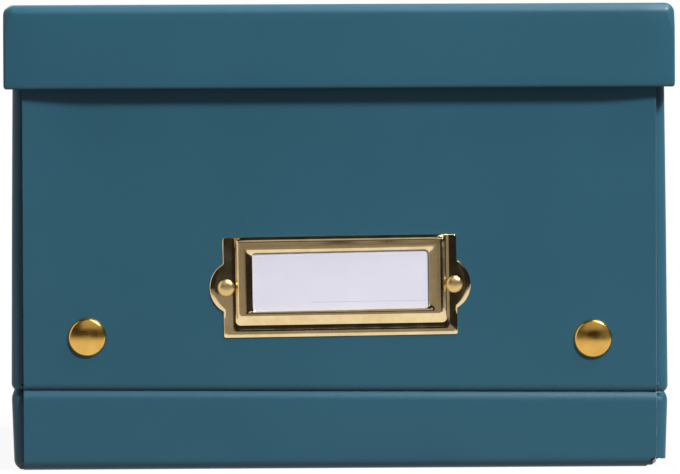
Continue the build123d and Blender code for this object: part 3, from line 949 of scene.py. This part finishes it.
def card_material():
    material = paper_material(
        "label_card", ((230, 229, 243), (236, 235, 248)), 0.6, 0.08, 12.0, 0.4, 0.6)
    tree = material.node_tree
    place = tree.nodes.new("ShaderNodeTexCoord")
    turn = put(tree, "ShaderNodeMapping", vector_type="TEXTURE",
               Location=(0, 0, LABEL_HEIGHT * MM), Rotation=(0, -LABEL_TILT, 0))
    parts = tree.nodes.new("ShaderNodeSeparateXYZ")
    tree.links.new(place.outputs["Object"], turn.inputs["Vector"])
    tree.links.new(turn.outputs["Vector"], parts.inputs["Vector"])
    line = math_node(tree, "MULTIPLY", band(tree, parts.outputs["Z"], RULE_UP, RULE_HALF),
                     band(tree, parts.outputs["X"], RULE_MIDDLE, RULE_REACH))
    painted_over(material, line, linear(204, 202, 220))
    return material


mesh = bmesh.new()
add_sheet(mesh, *[[[tuple(label_point(x, up, out + CARD_CURL * math.cos(x / 22)))
                    for x in spread(-CARD_HALF, CARD_HALF, 21)]
                   for up in spread(CARD_HEAD, CARD_FOOT, 9)] for out in CARD_FACES])
for face in mesh.faces:
    face.material_index = 0
card = mesh_object("label_card_paper", mesh, card_material())
finish_piece(card, "label_card", "label", 0.06)

# Studio
# A pale floor, a soft key lamp from the upper right, a wide soft lamp overhead and a soft
# fill. Painted reflections: glowing dark cards stand behind the camera, at the right and
# overhead, brown low down, with one glowing grey screen before them, so that polished brass
# has something dark to show. They show only in reflections.

WHITE = (1, 1, 1, 1)
# Painted reflections, seen only in metal and in the sheen of the paper: the brown low in front of
# the box, the near black of the cards, and the dark of the floor ahead of the box at the right.
PAINTED_REFLECTION_BROWN = (0.34, 0.32, 0.30, 1)  # what brass shows low in front of the box
PAINTED_REFLECTION_DARK = (0.02, 0.02, 0.02, 1)
FLOOR_PAINTED_REFLECTION_DARK = (0.015, 0.015, 0.015, 1)
FLOOR_BOUNCE = (0.12, 0.12, 0.12, 1)
FLOOR_PALE = (0.93, 0.93, 0.93, 1)
FLOOR_RADIUS = 12
CARD_HEIGHT = 3.2
CARD_BENDS = [(-1.9, -2.6), (-0.8, -3.1), (0.8, -3.1), (1.9, -2.6), (2.6, -1.6), (2.6, 1.5)]


def seen_rays(tree):
    """1 for what the camera sees, directly, in a polished surface or through a clear one."""
    path = tree.nodes.new("ShaderNodeLightPath").outputs
    seen = math_node(tree, "MAXIMUM", path["Is Camera Ray"], path["Is Glossy Ray"])
    return math_node(tree, "MAXIMUM", seen, path["Is Transmission Ray"]), path["Is Glossy Ray"]


def bare_material(name):
    """A material without its shader, and the socket that takes another."""
    material, tree, shader = new_material(name)
    tree.nodes.remove(shader)
    return material, tree, tree.nodes["Material Output"].inputs["Surface"]


def places(tree):
    """A point's place in the room, whole and as its three parts."""
    place = tree.nodes.new("ShaderNodeTexCoord").outputs["Object"]
    parts = tree.nodes.new("ShaderNodeSeparateXYZ")
    tree.links.new(place, parts.inputs["Vector"])
    return place, parts.outputs


def either(tree, factor, first, second):
    """One of two shaders, or a share of each."""
    mix = tree.nodes.new("ShaderNodeMixShader")
    for socket, value in zip(mix.inputs, (factor, first, second)):
        tree.links.new(value, socket)
    return mix.outputs[0]


def floor_material():
    """Pale to the eye and in metal, darker to bounced light, so that shade stays deep; ahead of
    the box, metal shows a painted reflection on it, brown at the left and dark at the right.
    """
    material, tree, surface = bare_material("studio_floor")
    place, parts = places(tree)
    seen, in_metal = seen_rays(tree)
    pale = put(tree, "ShaderNodeBsdfDiffuse", Color=FLOOR_PALE).outputs[0]
    deep = put(tree, "ShaderNodeBsdfDiffuse", Color=FLOOR_BOUNCE).outputs[0]
    # Painted reflection: ahead of the box, metal sees the floor glow brown at the left and dark at
    # the right; elsewhere the glow is plain white.
    ahead = math_node(tree, "MULTIPLY", ranged(tree, parts["Y"], (-0.55, -0.95)), in_metal)
    shade = mixed(tree, ranged(tree, parts["X"], (0.11, 0.2)), PAINTED_REFLECTION_BROWN, FLOOR_PAINTED_REFLECTION_DARK)
    white = put(tree, "ShaderNodeEmission", Strength=1.0)
    tree.links.new(mixed(tree, ahead, WHITE, shade), white.inputs["Color"])
    away = put(tree, "ShaderNodeVectorMath", operation="LENGTH")
    tree.links.new(place, away.inputs[0])
    far = ranged(tree, away.outputs["Value"], (0.1, 0.9), (0.92, 1.0), "SMOOTHSTEP")
    lit = math_node(tree, "MULTIPLY", far, seen)
    bounce = either(tree, seen, deep, pale)
    tree.links.new(either(tree, lit, bounce, white.outputs[0]), surface)
    return material


def flat_panel(name, corners, material):
    data = bpy.data.meshes.new(name)
    data.from_pydata(corners, [], [tuple(range(len(corners)))])
    data.materials.append(material)
    panel = bpy.data.objects.new(name, data)
    bpy.context.scene.collection.objects.link(panel)
    return panel


flat_panel("floor", [(*spot, -0.1 * MM) for spot in
                     arc(0, 0, FLOOR_RADIUS, 0, 360, 65)[:-1]], floor_material())


def mirror_card(name, corners, material):
    """A card that only shows in polished metal and in the sheen of the paper."""
    panel = flat_panel(name, corners, material)
    panel.visible_camera = False
    panel.visible_diffuse = False
    panel.visible_shadow = False
    panel.visible_transmission = False


def upright_card(name, left, right, foot, head, material):
    mirror_card(name, [(*left, foot), (*right, foot), (*right, head), (*left, head)], material)


# Painted reflection: a grey card that glows, for cards that show only in reflections.
def glowing_reflection_material(name, strength):
    material, tree, surface = bare_material(name)
    glow = put(tree, "ShaderNodeEmission", Strength=strength)
    tree.links.new(glow.outputs[0], surface)
    return material


def painted_reflection_card_material():
    """Painted reflection for cards seen only in reflections: a glow, brown near the floor and dark
    above, and dark at the right down to the floor.
    """
    material, tree, surface = bare_material("dark_card")
    parts = places(tree)[1]
    upward = ranged(tree, parts["Z"], (0.02, 0.06))
    shade = mixed(tree, upward, PAINTED_REFLECTION_BROWN, PAINTED_REFLECTION_DARK)
    glow = put(tree, "ShaderNodeEmission", Strength=1.0)
    tree.links.new(mixed(tree, ranged(tree, parts["X"], (0.2, 0.32)), shade, PAINTED_REFLECTION_DARK),
                   glow.inputs["Color"])
    tree.links.new(glow.outputs[0], surface)
    return material


# Painted reflections: the glowing dark cards and the dark ceiling show only in reflections.
dark = painted_reflection_card_material()
for number, (left, right) in enumerate(zip(CARD_BENDS, CARD_BENDS[1:])):
    upright_card("dark_card_%d" % number, left, right, 0, CARD_HEIGHT, dark)
mirror_card("dark_ceiling", [(-1.9, -3.1, CARD_HEIGHT), (2.6, -3.1, CARD_HEIGHT),
                             (2.6, 0.5, CARD_HEIGHT), (-1.9, 0.5, CARD_HEIGHT)], dark)
# Painted reflections: a dim glowing grey card behind the box and a brighter glowing grey screen
# behind the camera.
upright_card("rear_card", (-2.8, 2.6), (2.8, 2.6), 0, 2.4, glowing_reflection_material("rear_card", 0.2))
upright_card("grey_screen", (-0.66, -3.05), (1.3, -2.85), 0.7, 2.8,
             glowing_reflection_material("grey_screen", 0.55))

world = bpy.data.worlds.new("studio")
bpy.context.scene.world = world
world.use_nodes = True
background = world.node_tree.nodes["Background"]
background.inputs["Color"].default_value = WHITE
strength = ranged(world.node_tree, seen_rays(world.node_tree)[0], (0, 1), (0.035, 1.0))
world.node_tree.links.new(strength, background.inputs["Strength"])


def soft_lamp(name, place, target, size, power):
    data = bpy.data.lights.new(name, "AREA")
    data.shape = "RECTANGLE"
    data.size, data.size_y = size
    data.energy = power
    lamp = bpy.data.objects.new(name, data)
    lamp.location = place
    lamp.rotation_euler = (Vector(target) - Vector(place)).to_track_quat("-Z", "Y").to_euler()
    bpy.context.scene.collection.objects.link(lamp)


soft_lamp("key", (0.88, -1.28, 1.55), (0, -0.1, 0.08), (0.36, 0.36), 54)
soft_lamp("overhead", (1.0, -0.25, 1.9), (1.0, -0.25, 0), (1.4, 0.8), 40)
soft_lamp("behind", (-0.9, 1.9, 1.5), (0, 0.1, 0.08), (1.0, 1.0), 20)
soft_lamp("left_reflector", (-1.6, -0.7, 0.5), (0, -0.1, 0.08), (1.0, 1.0), 0.35)

# Camera
# It stands straight before the box, a little to the left, and looks slightly down.

PICTURE_WIDTH = 680
FOCAL_PIXELS = 7168.1
CAMERA_SPOT = (-0.0775, -2.5435, 0.128)
CAMERA_TURNS = (-1.846, -1.195, -0.259)  # yaw, pitch and roll in degrees

camera_data = bpy.data.cameras.new("camera")
camera_data.sensor_width = 36.0
camera_data.lens = FOCAL_PIXELS / PICTURE_WIDTH * camera_data.sensor_width
camera_data.clip_start = 0.05
camera_data.clip_end = 60
camera = bpy.data.objects.new("camera", camera_data)
yaw, pitch, roll = (math.radians(a) for a in CAMERA_TURNS)
sideways = Vector((math.cos(yaw), math.sin(yaw), 0))
ahead = Vector((-math.sin(yaw) * math.cos(pitch), math.cos(yaw) * math.cos(pitch),
                math.sin(pitch)))
upward = sideways.cross(ahead)
level = sideways * math.cos(roll) + upward * math.sin(roll)
tall = upward * math.cos(roll) - sideways * math.sin(roll)
camera.matrix_world = Matrix([(*row, 1 if n == 3 else 0) for n, row in enumerate(
    (level, tall, -ahead, CAMERA_SPOT))]).transposed()
bpy.context.scene.collection.objects.link(camera)
bpy.context.scene.camera = camera
bpy.context.scene.view_settings.view_transform = "Standard"
